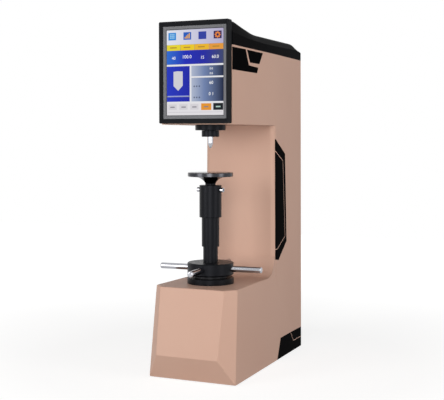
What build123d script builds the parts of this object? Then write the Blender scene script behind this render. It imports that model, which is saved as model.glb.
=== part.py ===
"""Bench hardness tester: C-shaped housing, screw lift with a round anvil, motor-driven load lever and a
touch display.

Datum used while modelling (mm): X = 0 is the plane of symmetry, Y = 0 the loading axis, on which the
elevating screw, the anvil and the indenter stand, and Z = 0 the surface under the feet. +Y runs to the rear.
When the parts are written, everything moves along Y, so that the origin is the centre of the footprint.
"""
import os
from math import cos, radians, sin
from build123d import *

# ---------------------------------------------------------------- driving dimensions: housing
throat_depth = 165.0            # loading axis to the front of the column
rear_y = 355.35                 # loading axis to the rear face
base_gap = 2.0                  # feet hold the housing's rim this far off the bench
base_top_z = 207.0
base_corner_y = -98.25          # front bottom corners, where the undercut skirt facet starts
base_bottom_width = 212.0       # across the front bottom corners
base_top_width = 199.5          # across the front top corners
base_top_corner_y = -73.7
facet_top_y = -98.65            # upper edge of the sloping front facet
facet_half_width = 77.7         # half the length of that edge, between the corner facets
facet_low_y = -125.6            # lower edge of the front facet, the furthest point forward
facet_low_z = 58.0
rear_bottom_width = 184.0
rear_top_width = 174.0
column_width = 180.4            # across the column's front, at the underside of the head
column_corner_radius = 12.5
column_foot_radius = 46.0       # concave blend from the base's top into the column
head_under_z = 567.2
head_front_y = -71.15
head_width = 172.5
head_meets_column_z = 680.0     # above this height the head's side is flush with the column's
parting_front_z = 738.3         # top edge of the housing, where the black cover starts
parting_rear_z = 734.2
wall = 8.0                      # thickness of the casting
head_floor = 12.0
edge_radius = 3.0
inlay_thickness = 1.0
transport_pad = 13.0            # half the width of the pads that take the transport bolts
transport_pad_height = 40.0
transport_thread_depth = 30.0
plate_pad = 8.0
plate_pad_height = 30.0
plate_thread_depth = 14.0
ring_thread_depth = 14.0
boss_web_rise = 20.0            # the web beside the lift's boss starts this far above the boss's foot
cable_window_width = 60.0       # behind the display
cable_window_bottom_z = 640.0
cable_window_top_z = 700.0

# ---------------------------------------------------------------- cover and display
cover_wall = 3.0
shoulder_z = 755.0
overall_height = 792.0          # top of the display
display_width = 168.6
display_bottom_z = 569.2
display_depth = 17.5
display_corner_radius = 3.0
rim_face = 3.0                  # flat front of the display's frame
recess_depth = 6.0              # sloping walls inside the frame go this deep
recess_margin_x = 8.1
recess_margin_z = 10.4
screen_margin_x = 15.7
screen_margin_z = 18.2
bezel_thickness = 2.4
glass_thickness = 1.6
panel_thickness = 3.0

# ---------------------------------------------------------------- lift
screw_radius = 14.0
screw_bottom_z = 84.0
lift_down = 64.0                # travel below the height that is modelled
running_gap = 0.06              # radial clearance of running fits
body_gap = 0.3                  # clearance between parts that turn past each other
ring_radius = 53.3
ring_top_z = 220.0
hub_radius = 52.8
hub_bottom_z = 226.0
hub_height = 28.8
hub_top_z = hub_bottom_z + hub_height
spoke_radius = 7.0
spoke_reach = 123.5
spoke_rise = 1.3                # spokes above the middle of the hub
spoke_z = (hub_bottom_z + hub_top_z) / 2 + spoke_rise
spoke_root = 3.0                # spokes end this far outside the nut's flange
spoke_turn = 3.87               # degrees that the handwheel stands off the X axis
spoke_count = 4
nut_radius = 22.0
nut_bottom_z = 172.0
nut_flange_radius = 28.0
nut_flange_thickness = 6.0
sleeve_foot_thickness = 4.8
nut_flange_z = hub_top_z - sleeve_foot_thickness - nut_flange_thickness
lower_sleeve_radius = 16.9
lower_sleeve_top_z = 326.0
middle_sleeve_radius = 20.05
middle_sleeve_bottom_z = 291.0
middle_sleeve_length = 94.5
upper_sleeve_radius = 25.2
upper_sleeve_bottom_z = 357.6
upper_sleeve_top_z = 430.6
sleeve_wall = 1.7
upper_sleeve_wall = 2.0
cap_under_z = 416.0
screw_head_radius = 18.0
screw_head_bottom_z = 412.0
anvil_radius = 51.5
anvil_top_z = 459.4
anvil_rim = 9.3
anvil_neck_radius = 12.0
anvil_stem_radius = 10.0
anvil_stem_length = 24.0
sleeve_screw_z = 420.0
boss_radius = 48.0
boss_bottom_z = 118.0
bush_seat_z = 156.0
bush_radius = 20.0
bush_flange_radius = 26.0
bush_flange_thickness = 5.0
key_width = 6.0
key_depth = 3.8
key_length = 28.0
bearing_inner = 25.0
bearing_outer = 40.0
bearing_seat_z = 214.0
ball_radius = 2.6
ball_count = 18
ring_counterbore_depth = 6.5
ring_screw_grip = 12.0          # length of a ring screw in the housing
sleeve_screw_head_radius = 5.5
sleeve_screw_proud = 7.5
sleeve_screw_bite = 5.0         # depth of a sleeve screw in the elevating screw's head

# ---------------------------------------------------------------- loading train
nose_radius = 34.4
nose_flange_z = 554.8
nose_spigot_radius = 22.0
nose_spigot_top_z = 592.0
spindle_radius = 12.0
spindle_head_radius = 19.9
spindle_head_bottom_z = 540.1
spindle_top_z = 636.5
spindle_collar_z = 612.0
spindle_bush_wall = 3.0
sensor_x = 32.0
indenter_radius = 6.3
indenter_tip_z = 513.9
indenter_cone_z = 526.0
indenter_shank_radius = 3.2
indenter_shank = 16.0
pivot_y = -30.0
pivot_z = 655.0
pivot_radius = 7.0
pivot_bearing_radius = 10.0
lever_rear_y = 275.0
lever_width = 24.0
lever_tail = 15.0
lever_bottom_z = 637.0
lever_back_rise = 24.0          # pivot to the top of the lever over the spindle
lever_end_half = 11.0           # half the height of the lever at the pull rod
lever_end_length = 30.0
rod_pin_radius = 5.0
rod_radius = 7.0
load_cell_bottom_z = 470.0
load_cell_height = 56.0
load_cell_width = 50.0
load_cell_thickness = 20.0
disc_spring_radius = 15.0
disc_spring_bore = 6.2
disc_spring_cone = 0.8
disc_spring_thickness = 1.1
disc_spring_count = 4
crosshead_z = 400.0
crosshead_thickness = 24.0
crosshead_width = 104.0
crosshead_depth = 36.0
stirrup_bottom_z = 450.0
stirrup_top_z = 462.0
stirrup_half_width = 29.0
stirrup_half_depth = 12.0
stirrup_leg = 11.0
guide_rod_spacing = 76.0
guide_rod_radius = 7.0
drive_screw_radius = 6.0
drive_plate_z = 262.0
drive_plate_thickness = 26.0
drive_screw_top_z = 430.0
guide_rod_top_z = 440.0
motor_size = 57.0
motor_height = 76.0
motor_shaft_radius = 4.0
rotor_radius = 17.2
rotor_length = 48.0
rotor_depth = 14.0              # motor's mounting face down to the rotor
air_gap = 0.8
coupling_radius = 11.0
drive_bearing_radius = 16.0
motor_post_spacing = 44.0
motor_post_radius = 4.0
motor_post_length = 36.0

# ---------------------------------------------------------------- feet, plates and rear panel
foot_radius = 18.0
foot_x = 62.0
foot_front_y = -52.0
foot_rear_y = 318.0
foot_recess_radius = 8.0
foot_recess_depth = 5.0
foot_screw_head_radius = 6.0
foot_screw_head_height = 3.5
plate_z = 12.0
plate_thickness = 4.0
transport_spacing_x = 120.0
transport_front_y = 0.0
transport_rear_y = 260.0
transport_hole_radius = 4.25    # tapping size of M10
rear_window_width = 132.0
rear_window_bottom_z = 64.0
rear_window_top_z = 700.0
rear_cover_thickness = 3.0
rear_cover_overlap = 8.0
connector_z = 96.0
connector_flange = 2.5
inlet_x = -38.0
switch_x = 2.0
ports_x = 40.0
rocker_tilt = 8.0               # degrees either side of the middle
rocker_pivot_y = rear_y - 1.0
rocker_depth = 4.2              # pivot to the ends of the rocker's face
rocker_half_height = 9.6
rocker_half_width = 7.1
rocker_pin_radius = 1.5
board_offset = 8.0              # inner face of the column to the control board
board_thickness = 1.6
board_front_y = 195.0
board_rear_y = 325.0
board_bottom_z = 480.0
board_top_z = 640.0
board_post_inset = 6.0
supply_width = 86.0
supply_front_y = 172.0
supply_depth = 52.0
supply_height = 42.0
supply_vent_pitch = 6.0
supply_vent_count = 7

# ---------------------------------------------------------------- values worked out from the above
display_front_y = head_front_y - display_depth
recess_floor_y = display_front_y + recess_depth
glass_y = recess_floor_y + bezel_thickness
panel_y = glass_y + glass_thickness
front_reach = min(facet_low_y, display_front_y, -spoke_reach)
rocker_angle = radians(rocker_tilt)
rear_reach = rocker_pivot_y + rocker_depth * cos(rocker_angle) + rocker_half_height * sin(rocker_angle)
origin_shift = -(front_reach + rear_reach) / 2
anvil_under_z = anvil_top_z - anvil_rim
parts = {}


# ---------------------------------------------------------------- helpers
def rod(radius, z0, z1, x=0.0, y=0.0):
    """Upright cylinder from z0 to z1."""
    return Pos(x, y, (z0 + z1) / 2) * Cylinder(radius, z1 - z0)


def tube(outer, inner, z0, z1, x=0.0, y=0.0):
    return rod(outer, z0, z1, x, y) - rod(inner, z0 - 1, z1 + 1, x, y)


def cross_rod(radius, x0, x1, y, z):
    """Cylinder lying along X."""
    return Pos((x0 + x1) / 2, y, z) * Rot(0, 90, 0) * Cylinder(radius, abs(x1 - x0))


def deep_rod(radius, y0, y1, x, z):
    """Cylinder lying along Y."""
    return Pos(x, (y0 + y1) / 2, z) * Rot(90, 0, 0) * Cylinder(radius, y1 - y0)


def block(x0, x1, y0, y1, z0, z1):
    return Pos((x0 + x1) / 2, (y0 + y1) / 2, (z0 + z1) / 2) * Box(abs(x1 - x0), y1 - y0, z1 - z0)


def side_slab(points, x0, x1):
    """Prism with the outline (y, z), from x0 to x1."""
    face = Plane.YZ * make_face(Polyline(*points, close=True))
    return Pos(x0, 0, 0) * extrude(face, x1 - x0, dir=(1, 0, 0))


def turned(points):
    """Solid of revolution about Z from an outline of (r, z)."""
    face = Plane.XZ * make_face(Polyline(*points, close=True))
    return revolve(face, Axis.Z)


def plane_through(a, b, c, inset=0.0):
    """Plane through three points with its normal to +X or to the front, moved inwards by inset."""
    a, b, c = Vector(*a), Vector(*b), Vector(*c)
    normal = (b - a).cross(c - a).normalized()
    if normal.X < 0:
        normal = normal * -1
    return Plane(origin=a - normal * inset, z_dir=normal)


def keep_within(solid, plane):
    """Cut a solid back to a plane on the right, and to its mirror image on the left."""
    for side in (plane, plane_mirrored(plane)):
        solid = split(solid, bisect_by=side, keep=Keep.BOTTOM)
    return solid


def plane_mirrored(plane):
    o, n = plane.origin, plane.z_dir
    return Plane(origin=(-o.X, o.Y, o.Z), z_dir=(-n.X, n.Y, n.Z))


def both_sides(solid):
    return [solid, mirror(solid, Plane.YZ)]


def around(count, shape, start=0.0):
    """Copies of a shape, evenly spaced about Z."""
    return [Rot(0, 0, start + 360.0 * i / count) * shape for i in range(count)]


# ---------------------------------------------------------------- planes that bound the housing
def column_side(inset=0.0):
    return plane_through((rear_bottom_width / 2, rear_y, base_gap),
                         (rear_top_width / 2, rear_y, parting_rear_z),
                         (column_width / 2, throat_depth + column_corner_radius, head_under_z), inset)


def column_half_width(y, z):
    plane = column_side()
    o, n = plane.origin, plane.z_dir
    return o.X - (n.Y * (y - o.Y) + n.Z * (z - o.Z)) / n.X


def base_side(inset=0.0):
    return plane_through((base_bottom_width / 2, base_corner_y, base_gap),
                         (base_top_width / 2, base_top_corner_y, base_top_z),
                         (rear_bottom_width / 2, rear_y, base_gap), inset)


def base_corner_facet(inset=0.0):
    return plane_through((facet_half_width, facet_top_y, base_top_z),
                         (base_top_width / 2, base_top_corner_y, base_top_z),
                         (base_bottom_width / 2, base_corner_y, base_gap), inset)


def head_side(inset=0.0):
    at_column = column_half_width(throat_depth, head_meets_column_z)
    return plane_through((head_width / 2, head_front_y, head_under_z),
                         (head_width / 2, head_front_y, parting_front_z),
                         (at_column, throat_depth, head_under_z), inset)


def parting_plane():
    return Plane(origin=(0, head_front_y, parting_front_z), x_dir=(1, 0, 0),
                 z_dir=(0, parting_front_z - parting_rear_z, rear_y - head_front_y))


# ---------------------------------------------------------------- the housing's three forms
half = 130.0                    # more than half the width of anything


def is_soft(edge):
    """Corners, the lower edge of the front facet and the front edges of the base's top are rounded."""
    at = edge.center()
    corner = abs(edge.tangent_at(0.5).X) < 0.98 and at.Z > base_gap + 1 and at.Y < rear_y - 1
    facet_edge = abs(at.Z - facet_low_z) < 1
    top_edge = abs(at.Z - base_top_z) < 1 and at.Y < 0
    return corner or facet_edge or top_edge


def base_form(inset=0.0, down=0.0):
    """Faceted base: front facet, undercut skirt, corner facets and flared sides."""
    points = [(base_corner_y, base_gap), (rear_y, base_gap), (rear_y, base_top_z),
              (facet_top_y, base_top_z), (facet_low_y, facet_low_z)]
    face = make_face(Polyline(*points, close=True))
    if inset:
        face = offset(face, -inset)
    form = Pos(-half, 0, 0) * extrude(Plane.YZ * face, 2 * half, dir=(1, 0, 0))
    if down:
        form += block(-half, half, base_corner_y + inset, rear_y - inset, base_gap - down, base_gap + inset)
    form = keep_within(form, base_side(inset))
    form = keep_within(form, base_corner_facet(inset))
    if inset:
        return form
    return fillet(form.edges().filter_by(is_soft), edge_radius)


def column_form(inset=0.0, down=0.0):
    bottom = base_gap + inset - down
    form = block(-half, half, throat_depth + inset, rear_y - inset, bottom, parting_front_z + 1)
    form = keep_within(form, column_side(inset))
    edges = form.edges().filter_by(lambda e: abs(e.tangent_at(0.5).Z) > 0.9).sort_by(Axis.Y)[:2]
    return fillet(edges, column_corner_radius - inset)


def head_form(inset=0.0, floor=0.0):
    form = block(-half, half, head_front_y + inset, throat_depth + 3 * wall, head_under_z + floor,
                 parting_front_z + 1)
    form = keep_within(form, head_side(inset))
    return keep_within(form, column_side(inset))


def foot_blend():
    """Concave fillet from the top of the base up into the front of the column."""
    r = column_foot_radius
    y0, z0, back = throat_depth - r, base_top_z, throat_depth + column_corner_radius
    outline = Polyline((y0, z0), (y0, z0 - 1), (back, z0 - 1), (back, z0 + r), (throat_depth, z0 + r))
    outline += CenterArc((y0, z0 + r), r, 270, 90)
    form = Pos(-half, 0, 0) * extrude(Plane.YZ * make_face(outline), 2 * half, dir=(1, 0, 0))
    form = keep_within(form, base_side())
    return keep_within(form, column_side())


# outlines of the black inlays on the housing's sides, as (y, z)
head_inlay_angle = [(head_front_y, 733.8), (-1.5, 733.8), (16.5, 699.5), (69.5, 697.5), (62.5, 684.5),
                    (head_front_y, 685.0)]
head_inlay_slant = [(5.5, 733.5), (96.0, 732.5), (75.5, 706.0), (22.0, 706.0)]
column_inlay_outer = [(172.0, 536.0), (239.0, 499.0), (248.0, 284.0), (191.0, 242.5), (172.0, 245.5)]
column_inlay_core = [(172.0, 505.5), (222.5, 482.0), (236.0, 297.0), (183.0, 271.0), (172.0, 271.0)]
base_inlay_outer = [(199.0, 51.0), (rear_y + 5, 51.0), (rear_y + 5, base_gap - 1), (171.0, base_gap - 1)]
base_inlay_core = [(274.0, 53.0), (295.0, 27.0), (rear_y + 6, 27.0), (rear_y + 6, 53.0)]
inlay_line = 1.6                # painted line left standing between two inlays
column_panel_x = rear_top_width / 2 - 15            # the side panels are looked for outside these planes
base_panel_x = rear_bottom_width / 2 - 1.5 * inlay_thickness


def skin(outline, outer, inner, x0):
    """Panel between two nested forms, inside an outline seen from the side."""
    return (outer & side_slab(outline, x0, half)) - inner


def core_and_frame(outer_outline, core_outline, outer, inner, x0):
    """Two panels, one inside the other, with a painted line between them."""
    core = skin(core_outline, outer, inner, x0) & side_slab(outer_outline, x0, half)
    grown = offset(make_face(Polyline(*core_outline, close=True)), inlay_line)
    line = Pos(x0 - 1, 0, 0) * extrude(Plane.YZ * grown, half, dir=(1, 0, 0))
    frame = skin(outer_outline, outer, inner, x0) - line
    return solids_of(core) + solids_of(frame)


def solids_of(shape):
    return list(shape.solids())


def make_inlays():
    t = inlay_thickness
    outer, inner = head_form(), head_form(t, floor=-t)
    side = head_width / 2 - t
    head_panels = [skin(outline, outer, inner, side) for outline in (head_inlay_angle, head_inlay_slant)]
    outer, inner = column_form(), column_form(t)
    column_panels = core_and_frame(column_inlay_outer, column_inlay_core, outer, inner, column_panel_x)
    outer = base_form() + column_form()
    inner = base_form(t, down=5) + column_form(t, down=5)
    base_panels = core_and_frame(base_inlay_outer, base_inlay_core, outer, inner, base_panel_x)
    groups = []
    for panels in (head_panels, column_panels, base_panels):
        flat = [s for p in panels for s in solids_of(p)]
        groups.append(Compound(flat + [mirror(s, Plane.YZ) for s in flat]))
    return groups


# ---------------------------------------------------------------- housing and its covers
plate_screw_spots = [(x, y) for x in (-78.0, 78.0) for y in (-24.0, 232.0)]
transport_spots = [(x, y) for x in (-transport_spacing_x / 2, transport_spacing_x / 2)
                   for y in (transport_front_y, transport_rear_y)]
rear_screw_spots = [(x, z) for x in (-rear_window_width / 2 - rear_cover_overlap / 2,
                                     rear_window_width / 2 + rear_cover_overlap / 2)
                    for z in (80.0, 280.0, 480.0, 690.0)]
plate_top_z = plate_z + plate_thickness
nose_screw_circle = 28.0
ring_screw_circle = 47.0
hub_screw_circle = 23.8
m5, m5_head = 2.5, 4.25
m6, m6_head = 3.0, 5.0
m4, m4_head = 2.0, 3.5


def cap_screw(shank, head, length, head_height):
    """Socket cap screw pointing down, with the underside of its head at z = 0."""
    screw = rod(head, 0, head_height) + rod(shank, -length, 0)
    socket = extrude(RegularPolygon(head * 0.5, 6), head_height * 0.6)
    return screw - Pos(0, 0, head_height * 0.5) * socket


def wall_pad(x, y, reach, top):
    """Pad on the base plate that reaches from beside a screw out to the housing's wall."""
    side = 1 if x > 0 else -1
    return block(x - side * reach, side * half, y - reach, y + reach, plate_top_z, top)


def make_housing(inlays):
    outside = base_form() + column_form() + head_form() + foot_blend()
    cavity = base_form(wall, down=5) + column_form(wall) + head_form(wall, floor=head_floor)
    posts = rod(boss_radius, boss_bottom_z, base_top_z)
    posts += block(-half, half, -wall / 2, wall / 2, boss_bottom_z + boss_web_rise, base_top_z) & base_form()
    for x, y in transport_spots:
        top = base_top_z if y < throat_depth else plate_top_z + transport_pad_height
        posts += wall_pad(x, y, transport_pad, top) & outside
    for x, y in plate_screw_spots:
        posts += wall_pad(x, y, plate_pad, plate_top_z + plate_pad_height) & outside
    body = outside - cavity + posts
    body = split(body, bisect_by=parting_plane(), keep=Keep.BOTTOM)
    # bores and seats
    body -= rod(bush_radius, boss_bottom_z - 1, bush_seat_z + 1)
    body -= rod(bush_flange_radius + 1, bush_seat_z, base_top_z + 1)
    body -= rod(nose_spigot_radius, head_under_z - 1, head_under_z + head_floor + 1)
    for x, y in transport_spots:
        body -= rod(transport_hole_radius, plate_z, plate_top_z + transport_thread_depth, x, y)
    for x, y in plate_screw_spots:
        body -= rod(m5, plate_z, plate_top_z + plate_thread_depth, x, y)
    # rear window with a rebate for its cover, and the cable window behind the display
    w, c = rear_window_width / 2, rear_cover_overlap
    body -= block(-w, w, rear_y - 2 * wall, rear_y + 1, rear_window_bottom_z, rear_window_top_z)
    body -= block(-w - c, w + c, rear_y - rear_cover_thickness, rear_y + 1,
                  rear_window_bottom_z - c, rear_window_top_z + c)
    w = cable_window_width / 2
    body -= block(-w, w, head_front_y - 1, head_front_y + wall + 1, cable_window_bottom_z, cable_window_top_z)
    for x, z in rear_screw_spots:
        body -= deep_rod(m4, rear_y - wall - 1, rear_y, x, z)
    for screw in around(4, rod(m5, head_under_z - 1, head_under_z + head_floor + 1, nose_screw_circle), 45):
        body -= screw
    for screw in around(6, rod(m6, base_top_z - ring_thread_depth, base_top_z + 1, ring_screw_circle), 30):
        body -= screw
    for group in inlays:
        body -= group
    return body


# the cover's crest seen from the side, as (y, z): it sweeps down from behind the display
crest_sweep = [(head_front_y, 791.4), (-46.0, 790.0), (-12.0, 784.4), (36.0, 776.4), (90.0, 771.8)]
crown_z = 771.8
crown_rear_y = 300.0            # where the crown starts to round over at the rear
crown_rear_z = 752.0            # and where it ends, in the rear face
crest_half_width = 80.3
crest_round = 4.5               # size of the bevel along the crest
shoulder_half_width = 89.0


def crest_rail(x, drop, inset):
    """Swept, level and rounded stretches of a line that runs along the cover."""
    lift = -drop - inset
    sweep = [(x, y, z + lift) for y, z in crest_sweep]
    sweep[0] = (x, head_front_y + inset, crest_sweep[0][1] + lift)
    level_end = (x, crown_rear_y, crown_z + lift)
    rear = (x, rear_y - inset, crown_rear_z + lift)
    middle = (x, (crown_rear_y + rear_y - inset) / 2 + 4, crown_z + lift - 4.3)
    return [Spline(*sweep, tangents=[(0, 1, -0.1), (0, 1, 0)]), Line(sweep[-1], level_end),
            Spline(level_end, middle, rear, tangents=[(0, 1, 0), (0, 0.45, -1)])]


def side_rail(x, z, inset):
    ys = [head_front_y + inset, crest_sweep[-1][0], crown_rear_y, rear_y - inset]
    return [Line((x, a, z), (x, b, z)) for a, b in zip(ys, ys[1:])]


def cover_form(inset=0.0):
    """Crown between two crests over steep shoulders, narrowed by the same planes as the housing's sides."""
    w, c, low = shoulder_half_width - inset, crest_half_width - inset, parting_rear_z - 6
    right = [side_rail(w, low, inset), side_rail(w, shoulder_z - inset, inset),
             crest_rail(c, crest_round, inset), crest_rail(c - crest_round, 0, inset)]
    left = [side_rail(-w, low, inset), side_rail(-w, shoulder_z - inset, inset),
            crest_rail(-c, crest_round, inset), crest_rail(-c + crest_round, 0, inset)]
    rails = right + left[::-1]
    rails.append(rails[0])
    faces = [Face.make_surface_from_curves(a.edge(), b.edge())
             for one, other in zip(rails, rails[1:]) for a, b in zip(one, other)]
    for piece, end in ((0, 0), (-1, 1)):
        corners = [rail[piece] @ end for rail in rails[:-1]]
        faces.append(Face(Wire.make_polygon(corners, close=True)))
    form = Solid(Shell(faces))
    form = keep_within(form, head_side(inset))
    return keep_within(form, column_side(inset))


cover_screw_spots = [(x, parting_rear_z + 7.0) for x in (-66.0, 0.0, 66.0)]


def make_top_cover():
    cover = cover_form() - cover_form(cover_wall)
    cover -= block(-half, half, head_front_y + cover_wall, rear_y - cover_wall, parting_rear_z - 10,
                   parting_rear_z - 2)
    back = rear_y - cover_wall / 2
    for x, z in cover_screw_spots:
        cover += block(x - 7, x + 7, back - 10, back, parting_rear_z - 5, z + 6)
    cover = split(cover, bisect_by=parting_plane(), keep=Keep.TOP)
    for x, z in cover_screw_spots:
        cover -= deep_rod(m4, back - 8, rear_y + 1, x, z)
    return cover


def make_rear_cover():
    w, c, t = rear_window_width / 2, rear_cover_overlap - body_gap, rear_cover_thickness
    plate = block(-w - c, w + c, rear_y - t, rear_y, rear_window_bottom_z - c, rear_window_top_z + c)
    for row in range(9):
        for side in (-1, 1):
            slot = Pos(side * 27, rear_y - t / 2, 560 + 12 * row) * Rot(90, 0, 0)
            plate -= slot * extrude(SlotOverall(44, 5), 2 * t, both=True)
    z = connector_z
    plate -= block(inlet_x - 14, inlet_x + 14, rear_y - 2 * t, rear_y + 1, z - 10.5, z + 10.5)
    plate -= block(switch_x - 9.5, switch_x + 9.5, rear_y - 2 * t, rear_y + 1, z - 13, z + 13)
    plate -= block(ports_x - 16, ports_x + 16, rear_y - 2 * t, rear_y + 1, z - 9, z + 9)
    for x, z in rear_screw_spots:
        plate -= deep_rod(m4, rear_y - 2 * t, rear_y + 1, x, z)
    return plate


def make_rear_screws():
    """Pan-headed M4 screws of the rear cover and of the top cover."""
    screw = Rot(-90, 0, 0) * (rod(m4_head, 0, 2.2) + rod(m4, -9, 0))
    short = Rot(-90, 0, 0) * (rod(m4_head, 0, 2.2) + rod(m4, -cover_wall - 5, 0))
    spots = [Pos(x, rear_y, z) * screw for x, z in rear_screw_spots]
    return Compound(spots + [Pos(x, rear_y, z) * short for x, z in cover_screw_spots])


# ---------------------------------------------------------------- base plate and feet
foot_spots = [(x, y) for x in (-foot_x, foot_x) for y in (foot_front_y, foot_rear_y)]


def make_base_plate():
    form = base_form(wall + body_gap, down=5)
    form &= block(-half, half, front_reach, rear_y, plate_z, plate_top_z)
    for x, y in transport_spots:
        form -= rod(transport_hole_radius + 2, plate_z - 1, plate_top_z + 1, x, y)
    for x, y in plate_screw_spots:
        form -= rod(m5, plate_z - 1, plate_top_z + 1, x, y)
    for x, y in foot_spots:
        form -= rod(m6, plate_z - 1, plate_top_z + 1, x, y)
    return form


def make_feet():
    foot = turned([(m6, 0), (foot_radius - 2, 0), (foot_radius, 3), (foot_radius, plate_z), (m6, plate_z)])
    foot -= rod(foot_recess_radius, -1, foot_recess_depth)
    return Compound([Pos(x, y, 0) * foot for x, y in foot_spots])


def make_foot_screws():
    screw = rod(foot_screw_head_radius, 0, foot_screw_head_height) + rod(m6, 1 - plate_top_z, 0)
    return Compound([Pos(x, y, foot_recess_depth) * Rot(180, 0, 0) * screw for x, y in foot_spots])


def make_plate_screws():
    screw = Rot(180, 0, 0) * cap_screw(m5, m5_head, plate_thickness + 12, 4)
    return Compound([Pos(x, y, plate_z) * screw for x, y in plate_screw_spots])


# ---------------------------------------------------------------- display
def display_block(margin_x, margin_z, y0, y1):
    w = display_width / 2
    return block(-w + margin_x, w - margin_x, y0, y1, display_bottom_z + margin_z, overall_height - margin_z)


def display_outline(margin_x, margin_z, y):
    w = display_width - 2 * margin_x
    h = overall_height - display_bottom_z - 2 * margin_z
    plane = Plane(origin=(0, y, (overall_height + display_bottom_z) / 2), x_dir=(1, 0, 0), z_dir=(0, -1, 0))
    return plane * Rectangle(w, h)


def make_display_housing():
    body = display_block(0, 0, display_front_y, head_front_y)
    upright = body.edges().filter_by(Axis.Y)
    body = fillet(upright, display_corner_radius)
    body = chamfer(body.faces().sort_by(Axis.Y)[0].outer_wire().edges(), 0.8)
    mouth = loft([display_outline(rim_face, rim_face, display_front_y - 0.01),
                  display_outline(recess_margin_x, recess_margin_z, recess_floor_y)])
    body -= mouth
    body -= display_block(recess_margin_x, recess_margin_z, recess_floor_y - 0.1, panel_y + panel_thickness)
    w = cable_window_width / 2 - 5
    return body - block(-w, w, panel_y, head_front_y + 1, cable_window_bottom_z + 5, cable_window_top_z - 5)


def make_display_bezel():
    body = display_block(recess_margin_x, recess_margin_z, recess_floor_y, glass_y)
    return body - loft([display_outline(screen_margin_x - 1.6, screen_margin_z - 1.6, recess_floor_y - 0.01),
                        display_outline(screen_margin_x, screen_margin_z, glass_y + 0.01)])


def make_touch_glass():
    return display_block(recess_margin_x, recess_margin_z, glass_y, panel_y)


def make_lcd_panel():
    return display_block(recess_margin_x + 2, recess_margin_z + 2, panel_y, panel_y + panel_thickness)


# ---------------------------------------------------------------- lift
def make_base_ring():
    ring = tube(ring_radius, bush_flange_radius - 1, base_top_z, ring_top_z)
    ring = chamfer(ring.edges().filter_by(GeomType.CIRCLE).sort_by(SortBy.RADIUS)[-2:], 0.7)
    ring -= rod(bearing_outer + body_gap, bearing_seat_z, ring_top_z + 1)
    hole = rod(m6, base_top_z - 1, ring_top_z, ring_screw_circle)
    hole += rod(m6_head + body_gap, ring_top_z - ring_counterbore_depth, ring_top_z + 1, ring_screw_circle)
    for screw in around(6, hole, 30):
        ring -= screw
    return ring


def make_ring_screws():
    seat_z = ring_top_z - ring_counterbore_depth
    screw = cap_screw(m6, m6_head, seat_z - base_top_z + ring_screw_grip, 6)
    return Compound(around(6, Pos(ring_screw_circle, 0, seat_z) * screw, 30))


def make_thrust_bearing():
    """Two grooved washers, a cage and a ring of balls between the base ring and the handwheel."""
    top = hub_bottom_z - body_gap
    middle = (bearing_seat_z + top) / 2
    pitch_radius = (bearing_inner + bearing_outer) / 2
    race = Pos(0, 0, middle) * Torus(pitch_radius, ball_radius)
    lower = tube(bearing_outer, bearing_inner, bearing_seat_z, middle - 1.4) - race
    upper = tube(bearing_outer - 1, bearing_inner, middle + 1.4, top) - race
    ball = Pos(pitch_radius, 0, middle) * Sphere(ball_radius)
    balls = around(ball_count, ball)
    cage = tube(pitch_radius + 4, pitch_radius - 4, middle - 0.8, middle + 0.8)
    for hole in around(ball_count, rod(ball_radius + 0.1, middle - 3, middle + 3, pitch_radius)):
        cage -= hole
    return Compound(solids_of(lower) + solids_of(upper) + solids_of(cage) + balls)


def make_guide_bush():
    r = screw_radius + running_gap
    bush = tube(bush_radius, r, boss_bottom_z + 2, bush_seat_z)
    bush += tube(bush_flange_radius, r, bush_seat_z, bush_seat_z + bush_flange_thickness)
    return bush - make_guide_key()


def make_guide_key():
    return block(-key_width / 2, key_width / 2, -bush_radius + 3, -screw_radius + key_depth - body_gap,
                 bush_seat_z - 4 - key_length, bush_seat_z - 4)


def make_elevating_screw():
    body = rod(screw_radius, screw_bottom_z, screw_head_bottom_z)
    body = chamfer(body.edges().sort_by(Axis.Z)[0], 1.5)
    body += rod(screw_head_radius, screw_head_bottom_z, upper_sleeve_top_z - 1)
    stem_bottom = upper_sleeve_top_z - 1 - anvil_stem_length
    body -= rod(anvil_stem_radius + running_gap, stem_bottom - 2, upper_sleeve_top_z)
    w = key_width / 2 + running_gap
    keyway_top = bush_seat_z + lift_down + 6
    body -= block(-w, w, -screw_radius - 1, -screw_radius + key_depth, screw_bottom_z - 1, keyway_top)
    for s in (-1, 1):
        body -= cross_rod(m6, s * (screw_head_radius - sleeve_screw_bite), s * (screw_head_radius + 1), 0,
                          sleeve_screw_z)
    return body


def make_anvil():
    """Round flat anvil: rim, concave flare under it, neck and stem."""
    top, under, neck = anvil_top_z, anvil_under_z, anvil_neck_radius
    seat = upper_sleeve_top_z + 1.0
    flare = [(anvil_radius - 20, under - 1.2), (neck + 7.5, under - 6.5), (neck + 1.5, under - 12.5)]
    outline = Line((0, top), (anvil_radius - 1, top)) + Line((anvil_radius - 1, top), (anvil_radius, top - 1))
    outline += Line((anvil_radius, top - 1), (anvil_radius, under + 1))
    outline += Line((anvil_radius, under + 1), (anvil_radius - 1, under))
    outline += Spline((anvil_radius - 1, under), *flare, (neck, seat), tangents=[(-1, 0), (0, -1)])
    outline += Polyline((neck, seat), (anvil_stem_radius, seat),
                        (anvil_stem_radius, upper_sleeve_top_z - anvil_stem_length),
                        (0, upper_sleeve_top_z - anvil_stem_length), (0, top))
    return revolve(Plane.XZ * make_face(outline), Axis.Z)


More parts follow.
